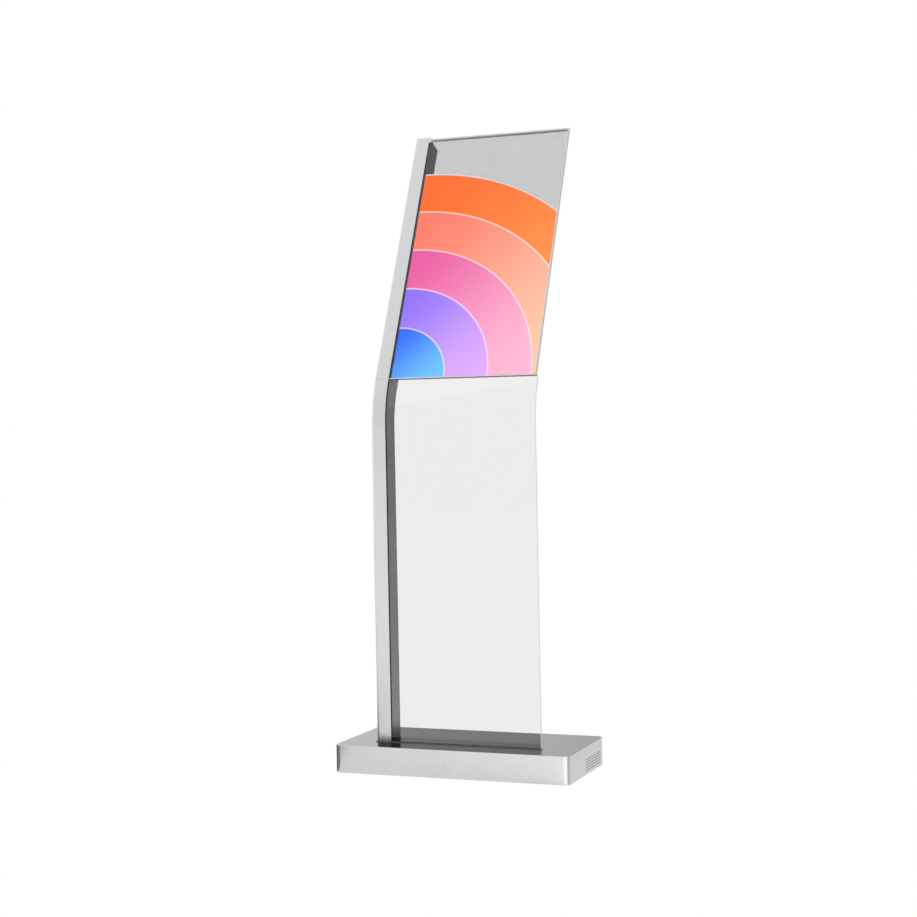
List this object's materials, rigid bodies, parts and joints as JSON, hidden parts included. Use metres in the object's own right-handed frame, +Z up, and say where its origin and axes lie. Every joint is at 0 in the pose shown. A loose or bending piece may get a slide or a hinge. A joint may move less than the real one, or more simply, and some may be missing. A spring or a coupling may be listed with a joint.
{
  "type": "touchscreen kiosk",
  "caption": "Floor-standing kiosk: flat brushed-metal base, one bent side post, and a full-width glass sheet that turns into a leaning see-through portrait touch display.",
  "frame": {"origin": "floor level, in the middle of the base and of its floor anchor pattern", "axes": "+Z up, +X to the right of a person facing the display, +Y away from that person"},
  "size_m": [0.618, 0.4654, 1.6441],
  "materials": {
    "base_metal": "fine brushed, satin",
    "post_metal": "fine brushed, satin",
    "plate_steel": "black powder coat",
    "zinc_steel": "zinc plated",
    "black_steel": "black powder coat",
    "bare_aluminium": "mill finish",
    "trim_metal": "grey anodised",
    "foot_metal": "zinc plated",
    "clear_glass": "neutral tinted, polished",
    "display_glass": "polished, grey tint",
    "display_panel": "see-through display showing a coloured abstract",
    "border_black": "printed black border behind glass",
    "clear_bond": "clear optical bond",
    "seal_rubber": "matt black",
    "black_plastic": "moulded, fine texture",
    "rocker_plastic": "glossy black",
    "circuit_board": "solder mask",
    "flex_film": "amber film",
    "lead_jacket": "flexible jacket"
  },
  "bodies": {
    "base": {"base_cover": "base_metal", "base_plate": "plate_steel", "base_seal": "seal_rubber", "board_lead": "lead_jacket", "board_rails": "black_plastic", "board_standoffs": "zinc_steel", "cover_brackets": "zinc_steel", "cover_screws": "zinc_steel", "display_flex": "flex_film", "display_lead": "lead_jacket", "display_panel": "display_panel", "driver_board": "circuit_board", "fan_bracket": "zinc_steel", "fan_frame": "black_plastic", "fan_screws": "zinc_steel", "foot_lock_nuts": "zinc_steel", "glass_shoe": "bare_aluminium", "heatsink": "bare_aluminium", "io_panel": "black_steel", "io_panel_screws": "zinc_steel", "lower_glass": "clear_glass", "lower_glass_gasket": "seal_rubber", "lower_post": "post_metal", "mainboard": "circuit_board", "mains_lead": "lead_jacket", "network_jack": "zinc_steel", "panel_border": "border_black", "panel_spacer": "clear_bond", "post_cap": "post_metal", "post_foot": "plate_steel", "post_foot_bolts": "zinc_steel", "post_rear_cover": "post_metal", "post_splice": "plate_steel", "power_inlet": "black_plastic", "power_supply": "zinc_steel", "rear_cover_screws": "zinc_steel", "rear_glass": "display_glass", "screen_trim_right": "trim_metal", "screen_trim_top": "trim_metal", "seam_strip": "trim_metal", "shoe_gasket": "seal_rubber", "splice_screws": "zinc_steel", "switch_frame": "black_plastic", "touch_controller": "circuit_board", "touch_glass": "display_glass", "upper_glass_gasket": "seal_rubber", "upper_post": "post_metal", "usb_ports": "zinc_steel"},
    "foot_front_left": {"foot_front_left": "foot_metal"},
    "foot_front_right": {"foot_front_right": "foot_metal"},
    "foot_rear_left": {"foot_rear_left": "foot_metal"},
    "foot_rear_right": {"foot_rear_right": "foot_metal"},
    "rocker": {"power_rocker": "rocker_plastic"},
    "rotor": {"fan_rotor": "black_plastic"}
  },
  "joints": [
    {"name": "foot_front_left_screw", "type": "slide", "parent": "base", "child": "foot_front_left", "axis": [0, 0, -1], "range_m": [0, 0.012]},
    {"name": "foot_front_right_screw", "type": "slide", "parent": "base", "child": "foot_front_right", "axis": [0, 0, -1], "range_m": [0, 0.012]},
    {"name": "foot_rear_left_screw", "type": "slide", "parent": "base", "child": "foot_rear_left", "axis": [0, 0, -1], "range_m": [0, 0.012]},
    {"name": "foot_rear_right_screw", "type": "slide", "parent": "base", "child": "foot_rear_right", "axis": [0, 0, -1], "range_m": [0, 0.012]},
    {"name": "rocker_tip", "type": "hinge", "parent": "base", "child": "rocker", "pos_m": [0.08, 0.1425, 0.039], "axis": [1, 0, 0], "range_deg": [0, 14]},
    {"name": "rotor_spin", "type": "hinge", "parent": "base", "child": "rotor", "pos_m": [0.2965, 0.054, 0.0415], "axis": [1, 0, 0], "continuous": true}
  ]
}
